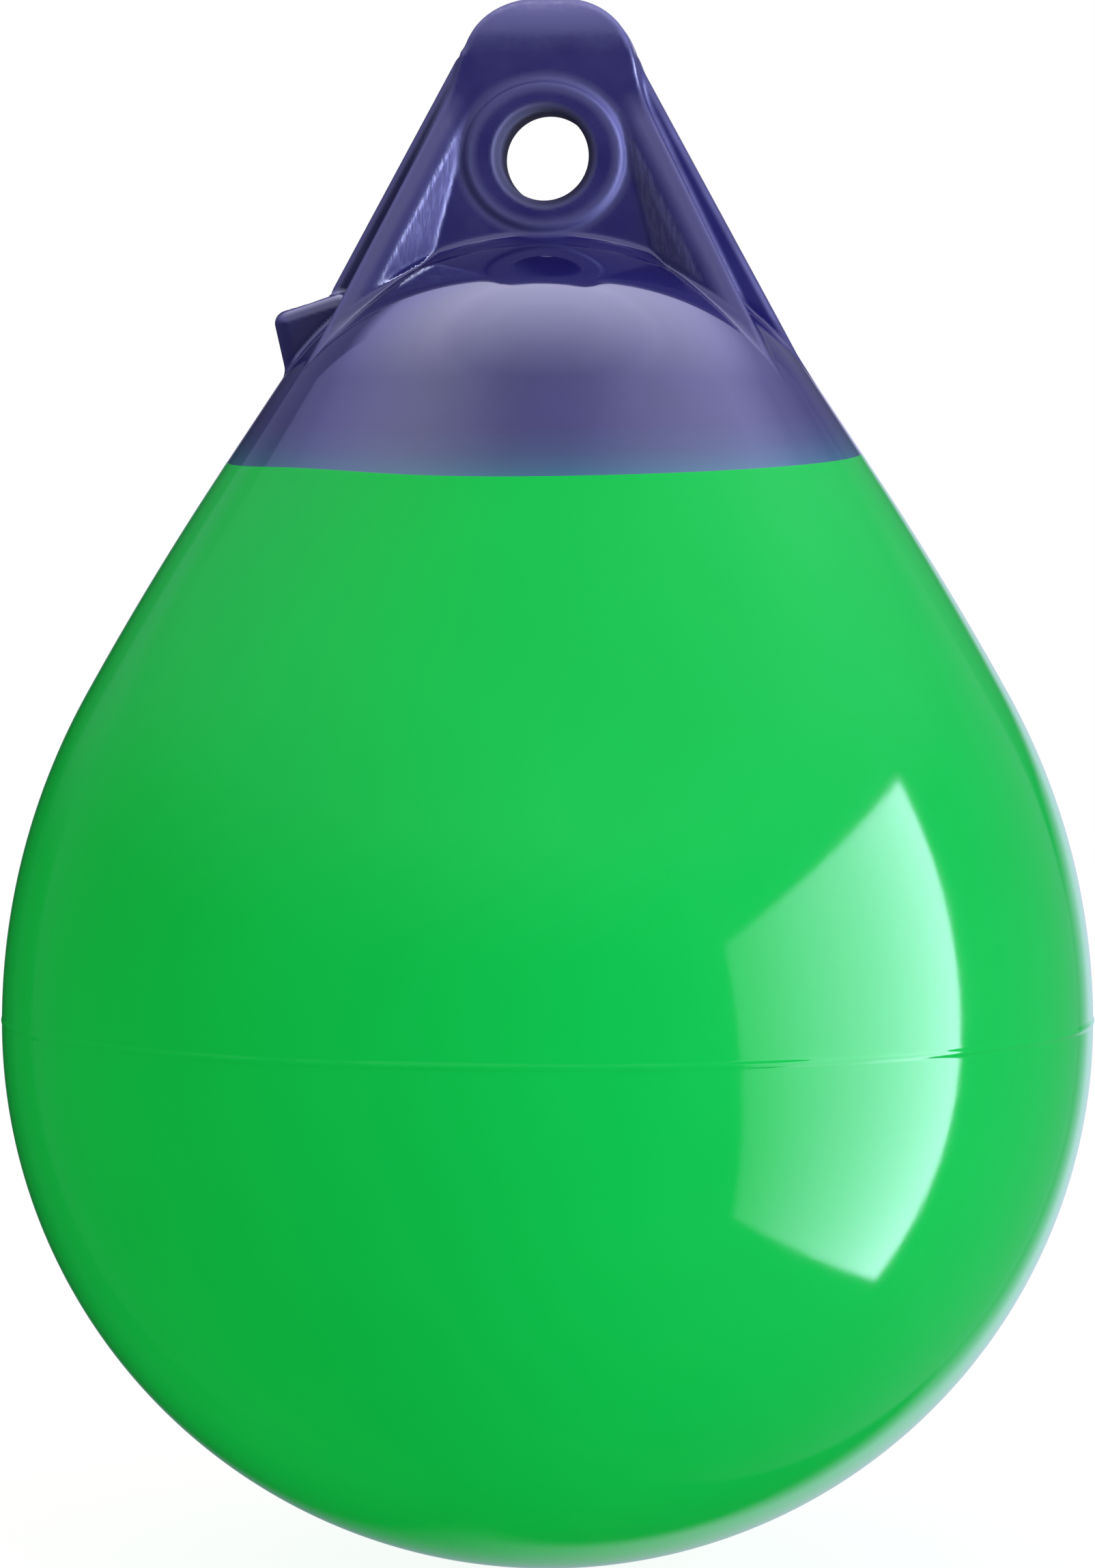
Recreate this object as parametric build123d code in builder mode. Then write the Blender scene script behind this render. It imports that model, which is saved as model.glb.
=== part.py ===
from build123d import *
import os
from math import cos, radians, sin, tan

# Inflatable mooring buoy: a hollow vinyl float with a bonded rope hold and an air valve.
# Millimetres, +Z up along the float's axis, +Y to the back, the rope eye running along Y.
# The origin is on the axis, in the plane of the water when the buoy floats with no load.

# Float skin, from the bottom pole to the crown
float_diameter = 203.2
shoulder_radius = 125.9
shoulder_turn = 29.0
neck_radius = 610.0
cone_angle = 33.6
cone_length = 19.1
wall = 3.0
draft = 42.0

# Mould seam just above the widest place of the float
seam_rise = 1.0
seam_round = 0.9
seam_proud = 0.3

# Bond between float and rope hold, on the cone, and the skirt that laps inside the float
bond_below_crown = 40.2
bond_rise_right = 0.6
bond_rise_back = 3.6
lap_length = 14.0
lap_thickness = 1.5

# Rope eye: a bored boss that stands just clear of the crown and proud of the lug's web
eye_diameter = 16.4
eye_mouth_round = 2.8
eye_boss_diameter = 28.6
eye_boss_above_crown = 0.65
eye_boss_proud = 2.2
eye_boss_edge_round = 1.2
eye_boss_root_round = 0.9

# Lug web, from inside the crown up to the rounded head above the eye
lug_root = 6.0
head_above_boss = 15.0
head_trim = 0.4
head_flat = 6.2
head_corner_radius = 12.5
head_side = 1.0
web_thickness = 20.0
web_edge_round = 2.4

# Ribs on the lug's four edges, running down to the edge of the crown
rib_foot_azimuth = 27.0
rib_start_above_eye = 5.0
rib_crest_width = 5.6
rib_flank_angle = 45.0
rib_crest_round = 2.2

# Thin flange in the middle plane, outside the ribs
flange_top_below_head = 10.4
flange_top_width = 32.6
flange_foot_inset = 0.5
flange_thickness = 8.0
flange_edge_round = 2.6
flange_corner_round = 1.2

# Valve pad on the left shoulder, placed by its angle from the axis about the crown's centre
valve_angle = 42.5
valve_tilt = 18.0
pad_rise = 5.0
pad_outer_reach = 7.3
pad_inner_reach = 7.6
pad_width = 16.0
pad_corner_round = 3.0
pad_edge_round = 2.0
pad_draft = 5.0

# Valve seat pressed into the pad, and its screw
seat_flange_width = 1.0
seat_flange_thickness = 1.0
seat_wall = 0.6
seat_length = 10.0
screw_diameter = 5.0
screw_head_overhang = 1.0
screw_head_thickness = 1.5
screw_length = 8.0
screw_tip_chamfer = 0.6
screw_slot_width = 1.2
screw_slot_depth = 0.8
running_clearance = 0.1
seating_gap = 0.05

# Two places closer than this are the same place
touch = 0.001

# Places along the float's profile
belly_radius = float_diameter / 2
belly_z = belly_radius - draft
neck_turn = cone_angle - shoulder_turn
shoulder_end_radius = belly_radius - shoulder_radius * (1 - cos(radians(shoulder_turn)))
shoulder_end_z = belly_z + shoulder_radius * sin(radians(shoulder_turn))
neck_fall = neck_radius * (cos(radians(shoulder_turn)) - cos(radians(cone_angle)))
neck_climb = neck_radius * (sin(radians(cone_angle)) - sin(radians(shoulder_turn)))
crown_edge_radius = shoulder_end_radius - neck_fall - cone_length * sin(radians(cone_angle))
crown_edge_z = shoulder_end_z + neck_climb + cone_length * cos(radians(cone_angle))
dome_radius = crown_edge_radius / cos(radians(cone_angle))
dome_z = crown_edge_z - dome_radius * sin(radians(cone_angle))
crown_z = dome_z + dome_radius

# Places on the lug
eye_z = crown_z + eye_boss_above_crown + eye_boss_diameter / 2
eye_boss_half = web_thickness / 2 + eye_boss_proud
head_z = eye_z + eye_boss_diameter / 2 + head_above_boss
head_half_width = head_flat / 2 + head_corner_radius
head_foot_z = head_z - max(head_corner_radius, web_thickness / 2) - head_side
flange_top_z = head_z - flange_top_below_head
rib_start_z = eye_z + rib_start_above_eye
rib_foot_span = crown_edge_radius * cos(radians(rib_foot_azimuth))
rib_foot_depth = crown_edge_radius * sin(radians(rib_foot_azimuth))
rib_splay = (rib_foot_span - head_half_width) / (head_foot_z - crown_edge_z)
rib_lean = (rib_foot_depth - web_thickness / 2) / (rib_start_z - crown_edge_z)
flange_foot_half = crown_edge_radius - flange_foot_inset
flange_splay = (flange_foot_half - flange_top_width / 2) / (flange_top_z - crown_edge_z)
lug_root_z = crown_edge_z - lug_root
rib_root_span = rib_foot_span + rib_splay * lug_root
rib_root_depth = rib_foot_depth + rib_lean * lug_root
flange_root_half = flange_foot_half + flange_splay * lug_root

# Sizes of the valve's seat and screw
screw_head_diameter = screw_diameter + 2 * screw_head_overhang
seat_diameter = screw_head_diameter + 2 * (running_clearance + seat_wall)
seat_flange_diameter = seat_diameter + 2 * seat_flange_width
valve_bore_depth = seat_length + wall

# Planes of the bond, the end of the lap and the valve
bond_normal = (-tan(radians(bond_rise_right)), -tan(radians(bond_rise_back)), 1)
bond_plane = Plane(origin=(0, 0, crown_z - bond_below_crown), z_dir=bond_normal)
lap_plane = bond_plane.offset(-lap_length)
valve_reach = dome_radius + pad_rise
valve_plane = Plane(
    origin=(-valve_reach * sin(radians(valve_angle)), 0, dome_z + valve_reach * cos(radians(valve_angle))),
    x_dir=(-cos(radians(valve_tilt)), 0, -sin(radians(valve_tilt))),
    z_dir=(-sin(radians(valve_tilt)), 0, cos(radians(valve_tilt))),
)
valve_line = Axis(valve_plane.origin, valve_plane.z_dir)


def envelope(inset):
    """Solid of revolution whose skin lies the given depth under the float's outer skin."""
    with BuildPart() as solid:
        with BuildSketch(Plane.XZ):
            with BuildLine():
                belly = CenterArc((0, belly_z), belly_radius - inset, -90, 90)
                shoulder = JernArc(belly @ 1, belly % 1, shoulder_radius - inset, shoulder_turn)
                neck = JernArc(shoulder @ 1, shoulder % 1, neck_radius - inset, neck_turn)
                cone = PolarLine(neck @ 1, cone_length, direction=neck % 1)
                dome = JernArc(cone @ 1, cone % 1, dome_radius - inset, 90 - cone_angle)
                Line(dome @ 1, belly @ 0)
            make_face()
        revolve(axis=Axis.Z)
    return solid.part


outer_form = envelope(0)
lap_form = envelope(wall - lap_thickness)
cavity_form = envelope(wall)

# Skirt of the rope hold that laps inside the float's neck
with BuildPart() as skirt:
    add(lap_form)
    split(bisect_by=lap_plane, keep=Keep.TOP)

# Green float: the skin below the bond, thinned where the skirt laps inside it
with BuildPart() as float_body:
    add(outer_form)
    split(bisect_by=bond_plane, keep=Keep.BOTTOM)
    with Locations((0, 0, belly_z + seam_rise)):
        Torus(belly_radius + seam_proud - seam_round, seam_round)
    add(skirt.part, mode=Mode.SUBTRACT)
    add(cavity_form, mode=Mode.SUBTRACT)
float_body.part.label = "float_body"

# Front right rib: one section carried up along the splayed and leaning edge of the lug
rib_direction = Vector(-rib_splay, rib_lean, 1)
rib_flank_run = rib_root_depth * tan(radians(rib_flank_angle))
with BuildPart() as rib:
    with BuildSketch(Plane.XY.offset(lug_root_z)) as rib_section:
        with BuildLine():
            Polyline(
                (rib_root_span, 0),
                (rib_root_span, -rib_root_depth),
                (rib_root_span - rib_crest_width, -rib_root_depth),
                (rib_root_span - rib_crest_width - rib_flank_run, 0),
                close=True,
            )
        make_face()
        fillet(rib_section.vertices().group_by(Axis.Y)[0], radius=rib_crest_round)
    extrude(amount=(flange_top_z - lug_root_z) * rib_direction.length, dir=rib_direction)
    split(bisect_by=Plane.XZ, keep=Keep.TOP)

# Lug web: front outline and round-headed side profile crossed, with the eye's boss on both faces
with BuildPart() as web:
    with BuildSketch(Plane.XZ):
        with BuildLine():
            top = Line((0, head_z), (head_flat / 2, head_z))
            corner = JernArc(top @ 1, (1, 0), head_corner_radius, -90)
            Polyline(
                corner @ 1,
                (head_half_width, head_foot_z),
                (rib_root_span, lug_root_z),
                (0, lug_root_z),
            )
            mirror(about=Plane.YZ)
        make_face()
    extrude(amount=web_thickness / 2, both=True)
    with BuildSketch(Plane.YZ):
        with BuildLine():
            crown = CenterArc((0, head_z + head_trim - web_thickness / 2), web_thickness / 2, 0, 180)
            Polyline(
                crown @ 1,
                (-web_thickness / 2, lug_root_z),
                (web_thickness / 2, lug_root_z),
                crown @ 0,
            )
        make_face()
    extrude(amount=rib_root_span, both=True, mode=Mode.INTERSECT)
    raised_edges = web.edges().filter_by(lambda edge: edge.center().Z > lug_root_z + touch)
    outline_edges = raised_edges.filter_by(lambda edge: abs(edge.center().Y) > touch)
    fillet(outline_edges, radius=web_edge_round)
    with BuildSketch(Plane.XZ):
        with Locations((0, eye_z)):
            Circle(eye_boss_diameter / 2)
    extrude(amount=eye_boss_half, both=True)
    web_rounds = web.edges().filter_by(GeomType.CIRCLE)
    boss_edges = web_rounds.filter_by(lambda edge: abs(edge.radius - eye_boss_diameter / 2) < touch)
    rim_edges = boss_edges.group_by(Axis.Y)[0] + boss_edges.group_by(Axis.Y)[-1]
    root_edges = boss_edges.filter_by(lambda edge: abs(edge.center().Y) < eye_boss_half - touch)
    fillet(root_edges, radius=eye_boss_root_round)
    fillet(rim_edges, radius=eye_boss_edge_round)

# Flange: a thin plate in the middle plane with rounded edges
with BuildPart() as flange:
    with BuildSketch(Plane.XZ) as flange_outline:
        with BuildLine():
            Polyline(
                (flange_top_width / 2, flange_top_z),
                (flange_root_half, lug_root_z),
                (-flange_root_half, lug_root_z),
                (-flange_top_width / 2, flange_top_z),
                close=True,
            )
        make_face()
        fillet(flange_outline.vertices().group_by(Axis.Y)[-1], radius=flange_corner_round)
    extrude(amount=flange_thickness / 2, both=True)
    fillet(flange.faces().filter_by(Axis.Y).edges(), radius=flange_edge_round)

# Valve pad: a drafted block on the shoulder, square to the valve
pad_length = pad_outer_reach + pad_inner_reach
pad_depth = valve_plane.origin.Z - crown_edge_z
with BuildPart() as pad:
    with BuildSketch(valve_plane):
        with Locations(((pad_outer_reach - pad_inner_reach) / 2, 0)):
            RectangleRounded(pad_length, pad_width, pad_corner_round)
    extrude(amount=-pad_depth, taper=-pad_draft)
    fillet(pad.faces().sort_by(valve_line)[-1].edges(), radius=pad_edge_round)

# Blue rope hold: crown, skirt, web, ribs, flange, eye and valve pad in one moulding
with BuildPart() as rope_hold:
    add(web.part)
    add(rib.part)
    mirror(rib.part, about=Plane.YZ)
    add(flange.part)
    mirror(rib.part, about=Plane.XZ)
    mirror(mirror(rib.part, about=Plane.YZ, mode=Mode.PRIVATE), about=Plane.XZ)
    add(pad.part)
    add(outer_form)
    split(bisect_by=bond_plane, keep=Keep.TOP)
    add(skirt.part)
    with BuildSketch(Plane.XZ):
        with Locations((0, eye_z)):
            Circle(eye_diameter / 2)
    extrude(amount=eye_boss_half, both=True, mode=Mode.SUBTRACT)
    add(cavity_form, mode=Mode.SUBTRACT)
    hold_rounds = rope_hold.edges().filter_by(GeomType.CIRCLE)
    mouth_edges = hold_rounds.filter_by(lambda edge: abs(edge.radius - eye_diameter / 2) < touch)
    fillet(mouth_edges, radius=eye_mouth_round)
    with Locations(valve_plane):
        CounterBoreHole(
            radius=seat_diameter / 2,
            counter_bore_radius=seat_flange_diameter / 2,
            counter_bore_depth=seat_flange_thickness,
            depth=valve_bore_depth,
        )
rope_hold.part.label = "rope_hold"

# Valve seat: a flanged bush with a well for the screw's head
with BuildPart() as valve_seat:
    with BuildSketch(valve_plane):
        Circle(seat_flange_diameter / 2)
    extrude(amount=-seat_flange_thickness)
    with BuildSketch(valve_plane):
        Circle(seat_diameter / 2)
    extrude(amount=-seat_length)
    with Locations(valve_plane):
        CounterBoreHole(
            radius=screw_diameter / 2 + running_clearance,
            counter_bore_radius=screw_head_diameter / 2 + running_clearance,
            counter_bore_depth=screw_head_thickness,
            depth=seat_length,
        )
valve_seat.part.label = "valve_seat"

# Valve screw: a slotted plug, its head level with the seat
screw_plane = valve_plane.offset(seating_gap)
with BuildPart() as valve_screw:
    with BuildSketch(screw_plane):
        Circle(screw_head_diameter / 2)
    extrude(amount=-screw_head_thickness)
    with BuildSketch(screw_plane):
        Circle(screw_diameter / 2)
    extrude(amount=-screw_length)
    chamfer(valve_screw.edges().sort_by(valve_line)[0], length=screw_tip_chamfer)
    with BuildSketch(screw_plane):
        Rectangle(screw_head_diameter, screw_slot_width)
    extrude(amount=-screw_slot_depth, mode=Mode.SUBTRACT)
valve_screw.part.label = "valve_screw"

os.makedirs("parts", exist_ok=True)
export_step(float_body.part, "parts/float_body.step")
export_step(rope_hold.part, "parts/rope_hold.step")
export_step(valve_seat.part, "parts/valve_seat.step")
export_step(valve_screw.part, "parts/valve_screw.step")
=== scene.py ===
import bmesh
import bpy
import numpy as np
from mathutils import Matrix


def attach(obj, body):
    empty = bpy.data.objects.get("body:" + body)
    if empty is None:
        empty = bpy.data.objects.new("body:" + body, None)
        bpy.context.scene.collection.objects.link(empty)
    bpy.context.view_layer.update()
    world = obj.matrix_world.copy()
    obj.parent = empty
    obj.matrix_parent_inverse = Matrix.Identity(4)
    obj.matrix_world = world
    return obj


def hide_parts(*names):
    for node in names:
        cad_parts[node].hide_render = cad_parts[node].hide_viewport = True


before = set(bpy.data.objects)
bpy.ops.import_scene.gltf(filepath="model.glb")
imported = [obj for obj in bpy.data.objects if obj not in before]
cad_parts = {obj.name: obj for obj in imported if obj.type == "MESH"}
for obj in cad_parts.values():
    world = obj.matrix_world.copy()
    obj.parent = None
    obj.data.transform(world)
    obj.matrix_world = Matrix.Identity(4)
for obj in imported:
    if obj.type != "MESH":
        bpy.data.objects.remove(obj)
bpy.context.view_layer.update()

# Camera: a long lens a little to the right of the front and just above the belly.
# The picture is taken as 1604 by 2296 pixels, and the buoy fills its height.
picture_height = 2296
camera_azimuth = np.radians(4.0)
camera_distance = 1.1
camera_height = 0.16009
camera_tilt = np.radians(2.9286)
focal_pixels = 8646.4
camera_data = bpy.data.cameras.new("camera")
camera_data.sensor_fit = "VERTICAL"
camera_data.sensor_height = 36.0
camera_data.lens = focal_pixels * camera_data.sensor_height / picture_height
camera = bpy.data.objects.new("camera", camera_data)
camera.location = (
    camera_distance * np.sin(camera_azimuth),
    -camera_distance * np.cos(camera_azimuth),
    camera_height,
)
camera.rotation_euler = (np.radians(90) - camera_tilt, 0, camera_azimuth)
bpy.context.scene.collection.objects.link(camera)
bpy.context.scene.camera = camera
bpy.context.scene.view_settings.view_transform = "Standard"


# Float: the hollow green vinyl teardrop, rotary moulded in two halves that leave a thin seam at the belly.
# Its neck ends on a slightly tilted plane, where the rope hold is bonded and laps inside it.
mm = 0.001
belly_radius = 101.6
belly_z = 59.6
shoulder_radius = 125.9
shoulder_turn = np.radians(29.0)
neck_radius = 610.0
cone_angle = np.radians(33.6)
crown_edge_radius = 49.8088
crown_edge_z = 178.3813
wall = 3.0
lap_step = 1.5
lap_length = 14.0
rim_round = 0.03
bond_z = 164.8885
bond_slope = np.tan(np.radians((0.6, 3.6)))
swell_height = 0.9
swell_sharpness = 13.7
swell_turn = np.radians(228.0)
seam_rise = 1.0
seam_height = 0.29
seam_half_width = 0.85
seam_wander = 0.10
around = 400
shoulder_start = belly_radius * np.pi / 2
neck_start = shoulder_start + shoulder_radius * shoulder_turn
cone_start = neck_start + neck_radius * (cone_angle - shoulder_turn)


def bond_lift(turn):
    """How far the bond line rises over its plane at an angle round the axis: one low swell at the front left."""
    return swell_height * np.exp(swell_sharpness * (np.cos(turn - swell_turn) - 1))


def float_profile(run):
    """Radius, height, and outward normal of the skin at a distance run along it from the bottom pole.

    Three arcs and a line, each tangent to the last: a quarter circle to the belly, the shoulder, the hollow
    neck with its large radius, and the cone. The normal's angle grows with run on the arcs and rests on the cone.
    """
    belly_turn = run / belly_radius - np.pi / 2
    shoulder_angle = (run - shoulder_start) / shoulder_radius
    neck_angle = shoulder_turn + (run - neck_start) / neck_radius
    turn = np.select(
        [run < shoulder_start, run < neck_start, run < cone_start],
        [belly_turn, shoulder_angle, neck_angle],
        cone_angle,
    )
    shoulder_x = belly_radius - shoulder_radius
    neck_x = shoulder_x + (shoulder_radius - neck_radius) * np.cos(shoulder_turn)
    neck_z = belly_z + (shoulder_radius - neck_radius) * np.sin(shoulder_turn)
    bend = np.select([run < shoulder_start, run < neck_start], [belly_radius, shoulder_radius], neck_radius)
    centre_x = np.select([run < shoulder_start, run < neck_start], [0.0, shoulder_x], neck_x)
    centre_z = np.select([run < neck_start], [belly_z], neck_z)
    ahead = np.maximum(run - cone_start, 0)
    radius = centre_x + bend * np.cos(turn) - ahead * np.sin(cone_angle)
    height = centre_z + bend * np.sin(turn) + ahead * np.cos(cone_angle)
    return radius, height, np.cos(turn), np.sin(turn)


def lay_mesh(name, points, *faces):
    """A smooth-shaded mesh object from an array of points in millimetres and one or more arrays of faces."""
    mesh = bpy.data.meshes.new(name)
    corners = np.concatenate([f.ravel() for f in faces])
    sizes = np.concatenate([np.full(len(f), f.shape[1]) for f in faces])
    mesh.vertices.add(len(points))
    mesh.vertices.foreach_set("co", (points * mm).astype(np.float32).ravel())
    mesh.loops.add(len(corners))
    mesh.loops.foreach_set("vertex_index", corners.astype(np.int32))
    mesh.polygons.add(len(sizes))
    mesh.polygons.foreach_set("loop_start", (np.cumsum(sizes) - sizes).astype(np.int32))
    mesh.update(calc_edges=True)
    mesh.validate()
    mesh.polygons.foreach_set("use_smooth", np.ones(len(mesh.polygons), bool))
    item = bpy.data.objects.new(name, mesh)
    bpy.context.scene.collection.objects.link(item)
    return item


def float_points():
    """Rows of the float's shell: up the outer skin, over the rim, down the lap and the inner skin to the pole.

    Each point is the profile's point at run, moved along its normal by the seam's bump and back by the inset.
    The last runs of the outer skin end where the cone meets the tilted bond plane at that azimuth. The bump
    across the seam is (1 - d^2)^2, and its height and place wander round the belly as sums of sines.
    """
    turn = np.linspace(0, 2 * np.pi, around, endpoint=False)
    lean = bond_slope[0] * np.cos(turn) + bond_slope[1] * np.sin(turn)
    cone_r, cone_z = float_profile(np.array(cone_start))[:2]
    slope = np.tan(cone_angle)
    rim_z = (bond_z + bond_lift(turn) + lean * (cone_r + slope * cone_z)) / (1 + lean * slope)
    rim_run = cone_start + (rim_z - cone_z) / np.cos(cone_angle)

    draw = np.random.default_rng(4)
    waves = np.arange(1, 60)
    phase = draw.uniform(0, 2 * np.pi, (2, len(waves)))
    swell = np.cos(waves[:, None] * turn + phase[0][:, None]) / np.sqrt(waves)[:, None]
    drift = np.cos(waves[:, None] * turn + phase[1][:, None]) / waves[:, None]
    seam_run = shoulder_start + seam_rise + seam_wander * drift.sum(0)
    seam_lift = seam_height * np.clip(0.72 + 0.11 * swell.sum(0), 0.35, 1.0)

    below = np.linspace(1.2, shoulder_start - 4, 84)
    seam_band = shoulder_start + seam_rise + np.linspace(-4, 4, 41)
    above = np.linspace(shoulder_start + 7, cone_start - 4, 56)
    fixed = np.concatenate([below, seam_band, above])
    neck_share = np.linspace(0.06, 1, 16)
    outer = np.concatenate(
        [
            np.repeat(fixed[:, None], around, 1),
            fixed[-1] + neck_share[:, None] * (rim_run - rim_round - fixed[-1]),
        ]
    )
    bump = seam_lift * np.clip(1 - ((outer - seam_run) / seam_half_width) ** 2, 0, None) ** 2
    curl = np.linspace(0.25, 1, 4)[:, None] * np.pi / 2
    inner = np.linspace(1, 0.02, 18)[:, None]
    runs = [
        outer,
        rim_run - rim_round + rim_round * np.sin(curl),
        rim_run + np.zeros((2, 1)),
        rim_run - lap_length * np.linspace(0.02, 1, 6)[:, None],
        (rim_run - lap_length) * inner,
    ]
    insets = [
        -bump - rim_round * np.clip((outer - rim_run) / 2 + 1.5, 0, 1),
        0 * turn - rim_round * np.cos(curl),
        np.array([[0.5], [1.0]]) * lap_step + 0 * turn,
        np.full((6, around), lap_step),
        np.full((18, around), wall),
    ]
    run, inset = np.concatenate(runs), np.concatenate(insets)
    radius, height, out, up = float_profile(run)
    radius, height = radius - inset * out, height - inset * up
    return np.stack([radius * np.cos(turn), radius * np.sin(turn), height], -1)


def close_rows(rows):
    """Quads between neighbouring rows, joined round the seam at the back, and a fan to one point at each pole."""
    count, turns = rows.shape[:2]
    index = np.arange(count * turns).reshape(count, turns)
    onward = np.roll(index, -1, axis=1)
    quads = np.stack([index[:-1], onward[:-1], onward[1:], index[1:]], -1).reshape(-1, 4)
    first, last = count * turns, count * turns + 1
    start = np.stack([np.full(turns, first), onward[0], index[0]], -1)
    end = np.stack([np.full(turns, last), index[-1], onward[-1]], -1)
    return quads, np.concatenate([start, end])


float_rows = float_points()
float_poles = np.array([[0, 0, belly_z - belly_radius], [0, 0, belly_z - belly_radius + wall]])
float_quads, float_fans = close_rows(float_rows)
float_skin = lay_mesh(
    "float_skin", np.concatenate([float_rows.reshape(-1, 3), float_poles]), float_quads, float_fans
)


def tone(red, green, blue):
    """The linear colour of a screen colour given in 0 to 255."""
    screen = np.array([red, green, blue]) / 255
    linear = np.where(screen <= 0.04045, screen / 12.92, ((screen + 0.055) / 1.055) ** 2.4)
    return (*linear.tolist(), 1.0)


def finish_nodes(name):
    """A new material's node tree, its surface shader, and a function that adds a node with its sockets set.

    A socket's value is a number or colour to set, or an output to link.
    """
    material = bpy.data.materials.new(name)
    material.use_nodes = True
    tree = material.node_tree
    shader = tree.nodes["Principled BSDF"]

    def add(kind, sockets=(), **settings):
        node = tree.nodes.new(kind)
        for key, value in settings.items():
            setattr(node, key, value)
        for key, value in dict(sockets).items():
            put(node, key, value)
        return node

    def put(node, key, value):
        if isinstance(value, bpy.types.NodeSocket):
            tree.links.new(value, node.inputs[key])
        else:
            node.inputs[key].default_value = value

    def ramp(source, *stops):
        """A colour ramp over source with stops of place and colour."""
        node = tree.nodes.new("ShaderNodeValToRGB")
        put(node, "Fac", source)
        steps = node.color_ramp.elements
        while len(steps) < len(stops):
            steps.new(1.0)
        for step, (place, colour) in zip(steps, stops):
            step.position = place
            step.color = colour if len(np.shape(colour)) else (colour, colour, colour, 1)
        return node.outputs["Color"]

    return material, shader, add, put, ramp


def green_vinyl():
    """Glossy green vinyl: a faint cloudy tint, and a fine unevenness of the moulded skin."""
    material, shader, add, put, ramp = finish_nodes("green_vinyl")
    place = add("ShaderNodeTexCoord").outputs["Object"]
    cloud = add("ShaderNodeTexNoise", {"Vector": place, "Scale": 14.0, "Detail": 3.0}).outputs["Fac"]
    put(shader, "Base Color", ramp(cloud, (0.3, tone(12, 188, 75)), (0.7, tone(15, 194, 79))))
    scuff = add("ShaderNodeTexNoise", {"Vector": place, "Scale": 60.0, "Detail": 6.0, "Roughness": 0.7})
    put(shader, "Roughness", ramp(scuff.outputs["Fac"], (0.35, 0.07), (0.75, 0.11)))
    fine = add("ShaderNodeTexNoise", {"Vector": place, "Scale": 900.0, "Detail": 2.0}).outputs["Fac"]
    grain = add("ShaderNodeBump", {"Height": fine, "Strength": 0.02, "Distance": 0.0002})
    put(shader, "Normal", grain.outputs["Normal"])
    shader.inputs["IOR"].default_value = 1.22
    return material


float_skin.data.materials.append(green_vinyl())
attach(float_skin, "buoy")
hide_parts("float_body")


# Rope hold: the blue vinyl crown with its ribbed lug, moulded in one and bonded to the float's neck.
# All its edges are rounded and all its inner corners filled, as in any thick vinyl moulding.
dome_radius = 59.6
dome_z = 145.6498
eye_z = 220.0385
eye_radius = 8.2
mouth_round = 1.9
boss_radius = 14.6
boss_squash = 1.08
boss_half = 10.3
boss_round = 0.8
head_z = 249.3385
head_flat_half = 2.6
head_corner = 13.5
head_foot_z = 235.8385
head_shift = 0.6
head_trim = 0.9
head_reach = 6.0
foot_reach = 2.0
neck_fillet = 3.0
web_half = 10.0
web_taper = 0.03
web_round = 1.3
taper_start = 14.0
flare_depth = 3.0
flare_reach = 2.6
rib_span = 44.3799
rib_depth = 22.6127
rib_splay = 0.50089
rib_lean = 0.27033
rib_crest = 5.6
rib_undercut = 0.07
rib_round = 2.2
rib_fillet = 0.7
flange_top_z = 238.9385
flange_top_half = 16.3
flange_foot_half = 49.3088
flange_half = 4.0
flange_round = 1.5
flange_corner = 1.2
flange_fillet = 1.5
boss_fillet = 1.2
pad_origin = np.array([-43.7783, 0.0, 193.0641])
pad_tilt = np.radians(18.0)
pad_half_length = 7.45
pad_middle = -0.15
pad_half_width = 8.0
pad_corner = 3.0
pad_round = 2.0
pad_swell = 0.5
pad_fall = 1.6
pad_fillet = 0.9
pad_draft = np.tan(np.radians(5.0))
seat_recess = (5.22, 3.0)
seat_edge_round = 0.2
lap_depth = 2.4


def join(a, b, r):
    """Both forms, with a fillet of radius r in the corner between them: a quarter circle where both are near."""
    return np.maximum(r, np.minimum(a, b)) - np.hypot(np.maximum(r - a, 0), np.maximum(r - b, 0))


def cross(a, b, r):
    """What two forms share, with their common edge rounded at radius r."""
    return np.minimum(-r, np.maximum(a, b)) + np.hypot(np.maximum(r + a, 0), np.maximum(r + b, 0))


def above_bond(x, y, z):
    """Height above the bond line."""
    return z - bond_z - bond_lift(np.arctan2(y, x)) - bond_slope[0] * x - bond_slope[1] * y


def crown_form(x, y, z):
    """Distance from the crown: a sphere above the crown's edge and a cone below it, stepped in under the bond."""
    rho = np.hypot(x, y)
    rise = z - dome_z
    ball = np.hypot(rho, rise) - dome_radius
    cone = (rho - crown_edge_radius) * np.cos(cone_angle) + (z - crown_edge_z) * np.sin(cone_angle)
    skin = np.where(rise * np.cos(cone_angle) > rho * np.sin(cone_angle), ball, cone)
    step = np.clip(-0.9 - above_bond(x, y, z), 0, 1)
    return skin + lap_step * step * step * (3 - 2 * step)


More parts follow.
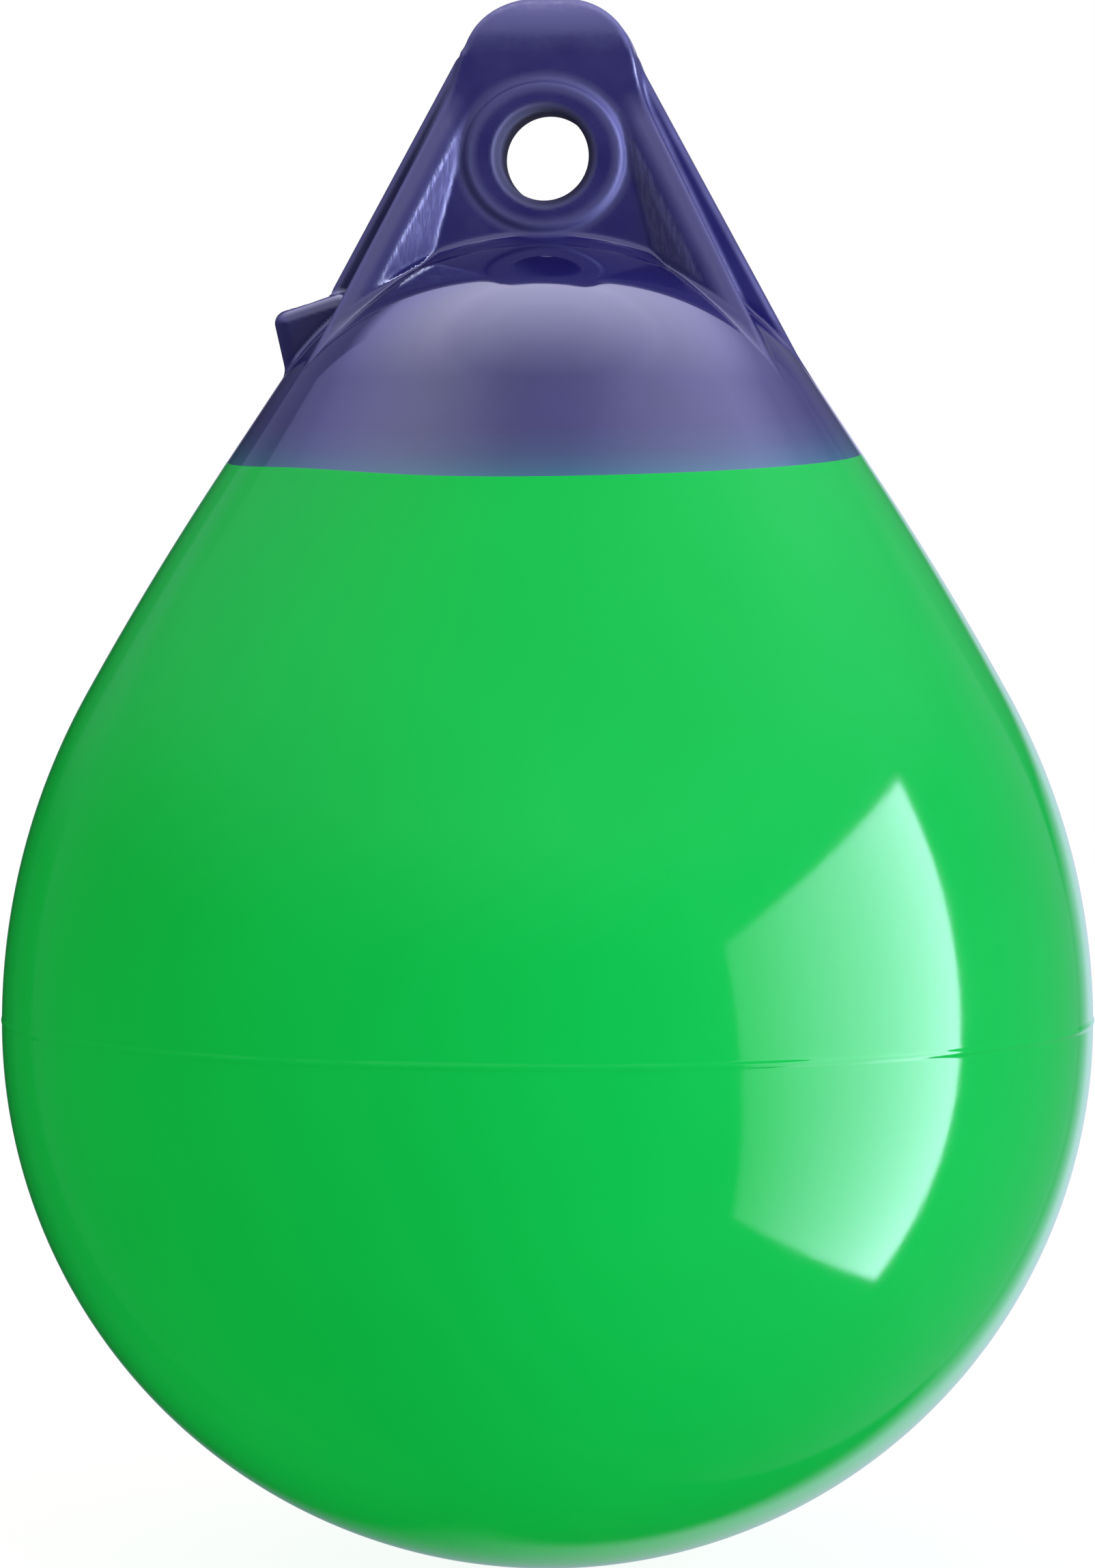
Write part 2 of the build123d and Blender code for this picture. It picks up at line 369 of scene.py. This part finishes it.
def lug_form(x, y, z, off_crown):
    """Distance from the lug: a web thickened by four leaning ribs, crossed with the lug's front outline.

    The outline is a round-cornered head, set a little to the right, over a splayed foot. The web is a slab with
    a round top. It thins towards the head, and flares where it nears the crown, most in the middle. A rib is a
    leaning crest plane crossed with a 45 degree flank, and its outer side is cut back under the crest. The thin
    flange in the middle plane and the eye's slightly oval boss are joined on.
    """
    deep = np.abs(y)
    rise = z - crown_edge_z
    wide = np.abs(x)
    corner_x = np.maximum(np.abs(x - head_shift) - head_flat_half, 0)
    corner_z = np.maximum(z - head_z + head_corner, 0)
    head = np.maximum(np.hypot(corner_x, corner_z) - head_corner, head_foot_z - head_reach - z)
    down = deep - rib_depth + rib_lean * rise
    side = (wide - rib_span + rib_splay * rise + rib_undercut * np.maximum(-down, 0)) / np.hypot(1, rib_splay)
    foot = np.maximum(side, z - head_foot_z - foot_reach)
    outline = join(head, foot, neck_fillet)

    half = web_half - web_taper * np.clip(rise - taper_start, 0, None)
    round_z = np.maximum(z - head_z - head_trim + half, 0)
    flare = flare_depth * np.clip(1 - off_crown / flare_reach, 0, 1) ** 4 * np.clip(1.7 - wide / 20, 0, 1)
    slab = np.hypot(deep, round_z) - half - flare
    across = wide - rib_span + rib_splay * rise + rib_crest
    crest = down / np.hypot(1, rib_lean)
    flank = (down - across) / np.sqrt(2 + (rib_lean - rib_splay) ** 2)
    thick = join(slab, cross(crest, flank, rib_round), rib_fillet)
    lug = cross(thick, outline, web_round)

    spread = (flange_foot_half - flange_top_half) / (flange_top_z - crown_edge_z)
    edge = (wide - flange_foot_half + spread * rise) / np.hypot(1, spread)
    plate = cross(edge, z - flange_top_z, flange_corner)
    lug = join(lug, cross(plate, deep - flange_half, flange_round), flange_fillet)

    boss = cross(np.hypot(x, boss_squash * (z - eye_z)) - boss_radius, deep - boss_half, boss_round)
    return join(lug, boss, boss_fillet)


def pad_form(x, y, z):
    """Distance from the valve pad: a drafted block with rounded corners, its top swelled along the middle.

    It stands square to the valve's axis. Also the height along that axis and the distance from it.
    """
    from_x, from_z = x - pad_origin[0], z - pad_origin[2]
    along = -from_x * np.cos(pad_tilt) - from_z * np.sin(pad_tilt)
    height = -from_x * np.sin(pad_tilt) + from_z * np.cos(pad_tilt)
    over_x = np.abs(along - pad_middle) - pad_half_length + pad_corner + height * pad_draft
    over_y = np.abs(y) - pad_half_width + pad_corner + 0.5 * height * pad_draft
    ring = np.hypot(np.maximum(over_x, 0), np.maximum(over_y, 0)) + np.minimum(np.maximum(over_x, over_y), 0)
    top = height - pad_swell + pad_fall * pad_swell * (y / pad_half_width) ** 2
    return cross(ring - pad_corner, top, pad_round), height, np.hypot(along, y)


def hold_form(x, y, z):
    """Distance from the rope hold's skin: crown, lug and pad joined with fillets, less the eye and the seat.

    The fillet between crown and lug is small, and grows under the ribs where they stand well off the middle.
    """
    pad, height, off_axis = pad_form(x, y, z)
    crown = crown_form(x, y, z)
    fillet = 0.6 + 0.9 * np.clip(np.abs(y) / 5 - 2.6, 0, 1) * np.clip((z - 182) / 6, 0, 1)
    body = join(crown, lug_form(x, y, z, crown), fillet)
    body = join(body, pad, pad_fillet)
    eye = np.hypot(x, z - eye_z) - eye_radius
    body = cross(body, -eye, mouth_round)
    recess = np.maximum(off_axis - seat_recess[0], -height - seat_recess[1])
    return cross(body, -recess, seat_edge_round)


def slope_of(form, points):
    """Distance at each point, and its gradient from central differences."""
    reach = 0.02
    moves = np.eye(3) * reach
    ahead = np.stack([form(*(points + move).T) for move in moves], -1)
    behind = np.stack([form(*(points - move).T) for move in moves], -1)
    return form(*points.T), (ahead - behind) / (2 * reach)


def grid_places(low, fine_low, fine_high, high, fine, coarse):
    """Places along one axis, close together between the two fine limits and wider apart outside them."""
    before = np.arange(low, fine_low, coarse)
    between = np.arange(fine_low, fine_high, fine)
    after = np.arange(fine_high, high + coarse, coarse)
    return np.concatenate([before, between, after])


def skin_of(form, axes):
    """The skin where a distance form is zero, as points and quads.

    The form is worked out on a grid with the given places along x, y and z. Each grid edge that the skin
    crosses gives a quad of the four cells round it, and each such cell one point, the mean of its crossings.
    The points are then eased towards their neighbours' mean and slid along the gradient onto the skin.
    """
    field = form(axes[0][:, None, None], axes[1][None, :, None], axes[2][None, None, :])
    shape = np.array(field.shape)
    inside = field < 0
    units = np.eye(3, dtype=int)
    cells, crossings = [], []
    for axis in range(3):
        here = [slice(1, -1)] * 3
        here[axis] = slice(0, -1)
        there = list(here)
        there[axis] = slice(1, None)
        edge = np.argwhere(inside[tuple(here)] != inside[tuple(there)]) + 1 - units[axis]
        start = field[tuple(edge.T)]
        end = field[tuple((edge + units[axis]).T)]
        crossings.append(edge + (start / (start - end))[:, None] * units[axis])
        one, two = units[(axis + 1) % 3], units[(axis + 2) % 3]
        loop = np.stack([edge - one - two, edge - two, edge, edge - one], 1)
        loop = np.where((start < 0)[:, None, None], loop, loop[:, ::-1])
        cells.append(np.ravel_multi_index(np.moveaxis(loop, -1, 0), shape))
    used, quads = np.unique(np.concatenate(cells), return_inverse=True)
    quads = quads.reshape(-1, 4)
    corners = quads.ravel()
    share = np.bincount(corners, minlength=len(used))[:, None]

    def gather(values):
        """The sum over each point's quads of a value given at every corner."""
        return np.stack([np.bincount(corners, values[:, i], len(used)) for i in range(3)], -1)

    points = gather(np.repeat(np.concatenate(crossings), 4, axis=0)) / share
    points = np.stack([np.interp(points[:, i], np.arange(shape[i]), axes[i]) for i in range(3)], -1)
    for turn in range(4):
        if turn < 2:
            beside = points[np.roll(quads, 1, axis=1)] + points[np.roll(quads, -1, axis=1)]
            points = 0.5 * points + 0.25 * gather(beside.reshape(-1, 3)) / share
        gap, slope = slope_of(form, points)
        points = points - (gap / np.maximum((slope**2).sum(1), 0.25))[:, None] * slope
    return points, quads


hold_grid = [
    grid_places(-64.0, -50.0, 50.0, 64.0, 0.54, 1.0),
    grid_places(-64.0, -24.0, 24.0, 64.0, 0.54, 1.0),
    grid_places(154.6, 176.0, 250.6, 250.6, 0.54, 1.0),
]
hold_skin = lay_mesh("hold_skin", *skin_of(hold_form, hold_grid))
shell = bmesh.new()
shell.from_mesh(hold_skin.data)
bond_normal = np.array([-bond_slope[0], -bond_slope[1], 1.0])
bmesh.ops.bisect_plane(
    shell,
    geom=shell.verts[:] + shell.edges[:] + shell.faces[:],
    plane_co=(0, 0, (bond_z - lap_depth) * mm),
    plane_no=bond_normal,
    clear_inner=True,
)
bmesh.ops.holes_fill(shell, edges=[e for e in shell.edges if e.is_boundary], sides=0)
bmesh.ops.recalc_face_normals(shell, faces=shell.faces[:])
shell.to_mesh(hold_skin.data)
shell.free()
hold_places = np.empty(len(hold_skin.data.vertices) * 3, np.float32)
hold_skin.data.vertices.foreach_get("co", hold_places)
hold_places = hold_places.reshape(-1, 3).astype(float) / mm
hold_slope = slope_of(hold_form, hold_places)[1]
hold_skin.data.polygons.foreach_set("use_smooth", np.ones(len(hold_skin.data.polygons), bool))
hold_skin.data.normals_split_custom_set_from_vertices(
    hold_slope / np.linalg.norm(hold_slope, axis=1, keepdims=True)
)


def hold_zones(x, y, z):
    """How far each place belongs to the crown, ribs' inner flanks, throat, boss's rim and head, 0 to 1."""
    rise = z - crown_edge_z
    across = np.abs(x) - rib_span + rib_splay * rise + rib_crest
    down = np.abs(y) - rib_depth + rib_lean * rise
    above_web = np.abs(y) - web_half + web_taper * np.clip(rise - taper_start, 0, None)
    off_crown = crown_form(x, y, z)
    flank = np.clip(2 - np.abs(down - across) / 0.5, 0, 1) * np.clip(-down / 0.6 - 0.8, 0, 1)
    return {
        "crown": np.clip(1.2 - off_crown / 1.6, 0, 1),
        "flank": flank * np.clip(above_web / 0.6 - 0.2, 0, 1) * np.clip(off_crown - 1.2, 0, 1),
        "throat": np.clip(1.7 - (np.hypot(x, z - eye_z) - eye_radius) / 1.1, 0, 1),
        "boss": np.clip(1.6 - np.abs(np.hypot(x, boss_squash * (z - eye_z)) - boss_radius) / 1.6, 0, 1),
        "head": np.clip((z - 239.0) / 7.0, 0, 1),
    }


for zone, share in hold_zones(*hold_places.T).items():
    hold_skin.data.attributes.new(zone, "FLOAT", "POINT").data.foreach_set("value", share.astype(np.float32))


def blue_vinyl():
    """Navy vinyl: mirror-smooth on the crown, satin on the lug, rough and streaked on the ribs' inner flanks.

    It runs out to teal where it thins over the green at the bond. Ripples and pits lie on the lug alone.
    Its throat is painted dark as painted shade, and its head is painted lighter towards the top as painted light
    from above.
    """
    material, shader, add, put, ramp = finish_nodes("blue_vinyl")
    place = add("ShaderNodeTexCoord").outputs["Object"]

    def zone(name):
        return add("ShaderNodeAttribute", attribute_name=name).outputs["Fac"]

    def noise(where, scale, detail):
        return add("ShaderNodeTexNoise", {"Vector": where, "Scale": scale, "Detail": detail}).outputs["Fac"]

    def blend(amount, first, second):
        return add("ShaderNodeMix", {0: amount, 6: first, 7: second}, data_type="RGBA").outputs[2]

    def grey(level):
        return (level, level, level, 1)

    tilt = bond_normal / np.linalg.norm(bond_normal) / (20 * mm)
    rise = add("ShaderNodeVectorMath", {0: place, 1: tilt.tolist()}, operation="DOT_PRODUCT").outputs["Value"]
    level = add("ShaderNodeMath", {0: rise, 1: bond_z * mm * tilt[2]}, operation="SUBTRACT").outputs["Value"]
    mottle = noise(place, 120.0, 5.0)
    drawn = add("ShaderNodeVectorMath", {0: place, 1: (1, 1, 0.25)}, operation="MULTIPLY").outputs["Vector"]
    streaks = ramp(noise(drawn, 1300.0, 3.0), (0.42, 0.0), (0.58, 1.0))
    navy = ramp(mottle, (0.3, tone(28, 25, 95)), (0.7, tone(33, 30, 101)))
    skin = blend(zone("flank"), navy, blend(streaks, tone(36, 33, 98), tone(52, 49, 112)))
    # Painted light: the head is painted lighter towards its top, for the light that falls on it from above, over
    # a speckled grain.
    skin = blend(zone("head"), skin, blend(noise(place, 900.0, 4.0), tone(40, 37, 106), tone(56, 53, 120)))
    # Painted shade: the eye's throat is painted near-black navy, for the shade deep inside the hole.
    skin = blend(zone("throat"), skin, tone(14, 12, 60))
    bond_fade = ramp(level, (0.0, 1.0), (0.08, 0.62), (0.2, 0.25), (0.42, 0.0))
    put(shader, "Base Color", blend(bond_fade, skin, tone(6, 92, 122)))

    satin = ramp(mottle, (0.3, 0.2), (0.75, 0.3))
    rough = blend(zone("head"), satin, ramp(noise(place, 900.0, 4.0), (0.3, 0.45), (0.7, 0.65)))
    rough = blend(zone("crown"), rough, ramp(mottle, (0.3, 0.04), (0.75, 0.07)))
    rough = blend(zone("flank"), rough, blend(streaks, grey(0.75), grey(0.95)))
    rough = blend(zone("boss"), rough, grey(0.6))
    put(shader, "Roughness", blend(zone("throat"), rough, grey(0.95)))

    def bump(height, strength, distance, **under):
        sockets = {"Height": height, "Strength": strength, "Distance": distance, **under}
        return add("ShaderNodeBump", sockets).outputs["Normal"]

    ripple = blend(zone("crown"), noise(place, 260.0, 3.0), grey(0.5))
    wave = bump(ripple, 0.025, 0.0004)
    wave = bump(blend(zone("flank"), grey(0.5), streaks), 0.35, 0.0003, Normal=wave)
    cells = add("ShaderNodeTexVoronoi", {"Vector": place, "Scale": 330.0}).outputs["Distance"]
    pits = blend(zone("crown"), ramp(cells, (0.0, 0.0), (0.1, 1.0)), grey(1))
    put(shader, "Normal", bump(pits, 0.04, 0.0002, Normal=wave))
    shader.inputs["IOR"].default_value = 1.8
    return material


hold_skin.data.materials.append(blue_vinyl())
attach(hold_skin, "buoy")
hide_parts("rope_hold")


# Valve seat: a dark flanged bush of hard plastic, pressed into the pad until its flange lies level.
# Its face is turned, and the moulding leaves a faint grain.
def moulded_plastic(name, colour, pale, grain_scale):
    """Hard moulded plastic: a slightly mottled colour and a fine grain."""
    material, shader, add, put, ramp = finish_nodes(name)
    place = add("ShaderNodeTexCoord").outputs["Object"]
    mottle = add("ShaderNodeTexNoise", {"Vector": place, "Scale": grain_scale, "Detail": 4.0}).outputs["Fac"]
    put(shader, "Base Color", ramp(mottle, (0.35, colour), (0.7, pale)))
    put(shader, "Roughness", ramp(mottle, (0.3, 0.28), (0.7, 0.42)))
    bump = add("ShaderNodeBump", {"Height": mottle, "Strength": 0.12, "Distance": 0.0001})
    put(shader, "Normal", bump.outputs["Normal"])
    return material


def dress_node(node, material):
    """The CAD node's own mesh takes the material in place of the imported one."""
    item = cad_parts[node]
    item.data.materials.clear()
    item.data.materials.append(material)


dress_node("valve_seat", moulded_plastic("valve_plastic", tone(26, 26, 34), tone(38, 38, 48), 1500.0))


# Valve screw: the off-white slotted plug that is turned with a coin or a driver to open the valve.
# It is moulded from hard plastic and sits in the seat's well.
dress_node("valve_screw", moulded_plastic("screw_plastic", tone(206, 206, 200), tone(226, 226, 220), 900.0))


# Floor: a wide pale sheet at the buoy's lowest point, which takes a soft shadow.
# To the camera it is nearly white by itself, as a lit studio sweep is, and a dim matt part takes the shadow.
# Other rays find a warmer glow, the light that it throws back up, and the gloss doesn't mirror it.
floor_z = belly_z - belly_radius - 0.05
floor_half = 4000.0
floor = lay_mesh(
    "floor",
    np.array([[-1, -1, 0], [1, -1, 0], [1, 1, 0], [-1, 1, 0]]) * floor_half + np.array([0, 0, floor_z]),
    np.array([[0, 1, 2, 3]]),
)
floor_paint = bpy.data.materials.new("floor_paint")
floor_paint.use_nodes = True
tree = floor_paint.node_tree
tree.nodes.remove(tree.nodes["Principled BSDF"])
bounce = tree.nodes.new("ShaderNodeEmission")
bounce.inputs["Color"].default_value = (1, 1, 0.78, 1)
bounce.inputs["Strength"].default_value = 0.82
dim_matt = tree.nodes.new("ShaderNodeBsdfDiffuse")
dim_matt.inputs["Color"].default_value = (0.16, 0.16, 0.16, 1)
glow = tree.nodes.new("ShaderNodeEmission")
glow.inputs["Color"].default_value = (0.98, 0.98, 1, 1)
glow.inputs["Strength"].default_value = 0.925
seen = tree.nodes.new("ShaderNodeAddShader")
tree.links.new(glow.outputs[0], seen.inputs[0])
tree.links.new(dim_matt.outputs[0], seen.inputs[1])


def sees_backdrop(tree):
    """1 for the rays that should find the white backdrop: camera, glossy and transmission rays."""
    path = tree.nodes.new("ShaderNodeLightPath")
    total = path.outputs["Is Camera Ray"]
    for kind in ("Is Glossy Ray", "Is Transmission Ray"):
        most = tree.nodes.new("ShaderNodeMath")
        most.operation = "MAXIMUM"
        tree.links.new(total, most.inputs[0])
        tree.links.new(path.outputs[kind], most.inputs[1])
        total = most.outputs[0]
    return total


choice = tree.nodes.new("ShaderNodeMixShader")
tree.links.new(sees_backdrop(tree), choice.inputs[0])
tree.links.new(bounce.outputs[0], choice.inputs[1])
tree.links.new(seen.outputs[0], choice.inputs[2])
tree.links.new(choice.outputs[0], tree.nodes["Material Output"].inputs["Surface"])
floor.data.materials.append(floor_paint)
floor.visible_glossy = False


# Studio: a white backdrop, and a tent of pale cloth round the buoy that the gloss mirrors.
# The tent and the softbox at the right show in reflections alone, and soft lamps light the buoy.
booth_radius = 2500.0


def booth_light(azimuth, elevation):
    """How bright the tent is towards a direction in degrees, azimuth from the front to the right.

    A strip over the camera, a ceiling that grows from the front to the back and is brighter at the right, a faint
    left side, an even low right side, dark gaps at the back on both sides that fade out above, and between them a
    window to the backdrop with a soft edge and a narrow slot over it.
    """
    behind = 0.5 - 0.5 * np.cos(np.radians(azimuth))
    front = np.interp(
        elevation,
        [-90, -20, 0, 13, 22, 33, 50, 67, 80, 90],
        [0.03, 0.03, 0.04, 0.15, 0.75, 1.6, 1.3, 1.1, 2.0, 3.0],
    )
    back = np.interp(elevation, [-90, 0, 22, 35, 50, 63, 75, 90], [0.03, 0.05, 0.2, 0.7, 2.6, 4.3, 4.1, 3.0])
    light = (1 - behind) * front + behind * back
    side = np.interp(azimuth, [-180, -110, -60, 60, 110, 149, 180], [0.0, -0.1, 0.0, 0.0, 0.35, 0.35, 0.0])
    light *= 1 + side * np.clip((60 - elevation) / 15, 0, 1)
    light += 0.1 * np.clip((azimuth + 40) / -90, 0, 1) * np.exp(-((elevation / 45) ** 2))
    low = np.clip((26 - elevation) / 3, 0, 1)
    low_right = np.clip((azimuth - 20) / 30, 0, 1) * low * np.clip((elevation + 75) / 40, 0, 1)
    light += (0.5 - light) * low_right
    far = np.abs(azimuth) > np.where(azimuth < 0, 130, 149)
    gap = np.where(azimuth > 0, 0.4, np.where(azimuth > -146, 0.35, 0.16))
    gap = gap * np.interp(elevation, [5, 18], [0.1, 1.0])
    light += (gap - light) * far * np.clip((42 - elevation) / 6, 0, 1)
    round_back = np.where(azimuth < 0, azimuth + 360, azimuth)
    edge = np.interp(elevation, [-60, -48, -41, -30, 0, 5, 9, 12], [200, 180, 160, 147, 147, 152, 166, 200])
    window = np.clip((round_back - edge) / 14, 0, 1) * np.clip((198 - round_back) / 35, 0, 1)
    slot = np.clip((10 - np.abs(round_back - 182)) / 5, 0, 1) * np.clip((26 - elevation) / 6, 0, 1)
    slot = slot * (elevation > 0)
    window = np.maximum(window, slot)
    return light * (1 - window) + 1.5 * window


def toward(azimuth, elevation):
    """The unit direction of an azimuth and an elevation in degrees."""
    a, e = np.radians(azimuth), np.radians(elevation)
    return np.stack([np.sin(a) * np.cos(e), -np.cos(a) * np.cos(e), np.sin(e)], -1)


def glowing_sheet(name, rows, glow):
    """A sheet from a grid of points, shining in the red, green and blue of glow, seen in reflections alone."""
    wide, tall = glow.shape[:2]
    cell = np.arange(wide * tall).reshape(wide, tall)
    quads = np.stack([cell[:-1, :-1], cell[:-1, 1:], cell[1:, 1:], cell[1:, :-1]], -1).reshape(-1, 4)
    sheet = lay_mesh(name, rows.reshape(-1, 3), quads)
    light = np.concatenate([glow, np.ones((wide, tall, 1))], -1)
    shine_at = sheet.data.attributes.new("glow", "FLOAT_COLOR", "POINT")
    shine_at.data.foreach_set("color", light.astype(np.float32).ravel())
    material = bpy.data.materials.new(name + "_cloth")
    material.use_nodes = True
    nodes, links = material.node_tree.nodes, material.node_tree.links
    nodes.remove(nodes["Principled BSDF"])
    shine = nodes.new("ShaderNodeEmission")
    hue = nodes.new("ShaderNodeAttribute")
    hue.attribute_name = "glow"
    links.new(hue.outputs["Color"], shine.inputs["Color"])
    links.new(shine.outputs[0], nodes["Material Output"].inputs["Surface"])
    sheet.data.materials.append(material)
    sheet.visible_camera = False
    sheet.visible_diffuse = False
    sheet.visible_transmission = False
    sheet.visible_volume_scatter = False
    sheet.visible_shadow = False


booth_azimuth, booth_elevation = np.meshgrid(np.arange(-180.0, 181), np.arange(-90.0, 91, 1.5), indexing="ij")
booth_rows = toward(booth_azimuth, booth_elevation) * booth_radius + np.array([0, 0, 100.0])
cool = np.interp(booth_azimuth, [-180, -150, -70, -20, 40, 90, 149, 180], [0, 0.4, 0.4, 0, 0, 0.15, 0.15, 0])
cool *= np.clip((58 - booth_elevation) / 20, 0, 1)
booth_hue = np.stack([0.66 + 0 * cool, 0.65 + 0 * cool, 0.88 + cool], -1)
glowing_sheet("booth", booth_rows, booth_light(booth_azimuth, booth_elevation)[..., None] * booth_hue)

softbox_centre = np.array([55.0, -75.0, 65.0])
softbox_left = toward(np.array([40.4, 46.5]), np.array([14.8, -35.1])) * 1250.0
softbox_right = toward(np.array([100.0, 97.7]), np.array([29.9, -40.7])) * 800.0
across, down = np.meshgrid(np.linspace(0, 1, 25), np.linspace(0, 1, 25), indexing="ij")
softbox_rows = (
    ((1 - across) * (1 - down))[..., None] * softbox_left[0]
    + ((1 - across) * down)[..., None] * softbox_left[1]
    + (across * (1 - down))[..., None] * softbox_right[0]
    + (across * down)[..., None] * softbox_right[1]
)
softbox_glow = (6.6 + 34.0 * across**1.4)[..., None] * np.array([0.66, 0.72, 1.0])
glowing_sheet("softbox", softbox_rows + softbox_centre, softbox_glow)


def soft_lamp(name, place, size, power, colour):
    """A square area lamp at a place in metres, turned to the buoy's middle, that leaves no mirror image."""
    data = bpy.data.lights.new(name, "AREA")
    data.shape = "SQUARE"
    data.size = size
    data.energy = power
    data.color = colour
    lamp = bpy.data.objects.new(name, data)
    lamp.location = place
    aim = np.array([0, 0, 0.1]) - np.array(place)
    flat = np.hypot(aim[0], aim[1])
    lamp.rotation_euler = (np.arctan2(flat, -aim[2]), 0, np.arctan2(aim[1], aim[0]) - np.pi / 2)
    lamp.visible_glossy = False
    bpy.context.scene.collection.objects.link(lamp)


soft_lamp("key_lamp", (1.25, -1.05, 0.5), 0.9, 10.8, (0.86, 0.97, 1.8))
soft_lamp("top_lamp", (0.0, -0.2, 1.6), 1.2, 3.0, (1.0, 1.0, 1.0))

world = bpy.data.worlds.new("studio")
bpy.context.scene.world = world
world.use_nodes = True
nodes, links = world.node_tree.nodes, world.node_tree.links
ambient = nodes["Background"]
ambient.inputs["Color"].default_value = (1.0, 1.0, 0.66, 1)
ambient.inputs["Strength"].default_value = 0.70
backdrop = nodes.new("ShaderNodeBackground")
backdrop.inputs["Color"].default_value = (1, 1, 1, 1)
backdrop.inputs["Strength"].default_value = 1.0
blend = nodes.new("ShaderNodeMixShader")
links.new(sees_backdrop(world.node_tree), blend.inputs[0])
links.new(ambient.outputs[0], blend.inputs[1])
links.new(backdrop.outputs[0], blend.inputs[2])
links.new(blend.outputs[0], nodes["World Output"].inputs["Surface"])

bpy.context.view_layer.update()
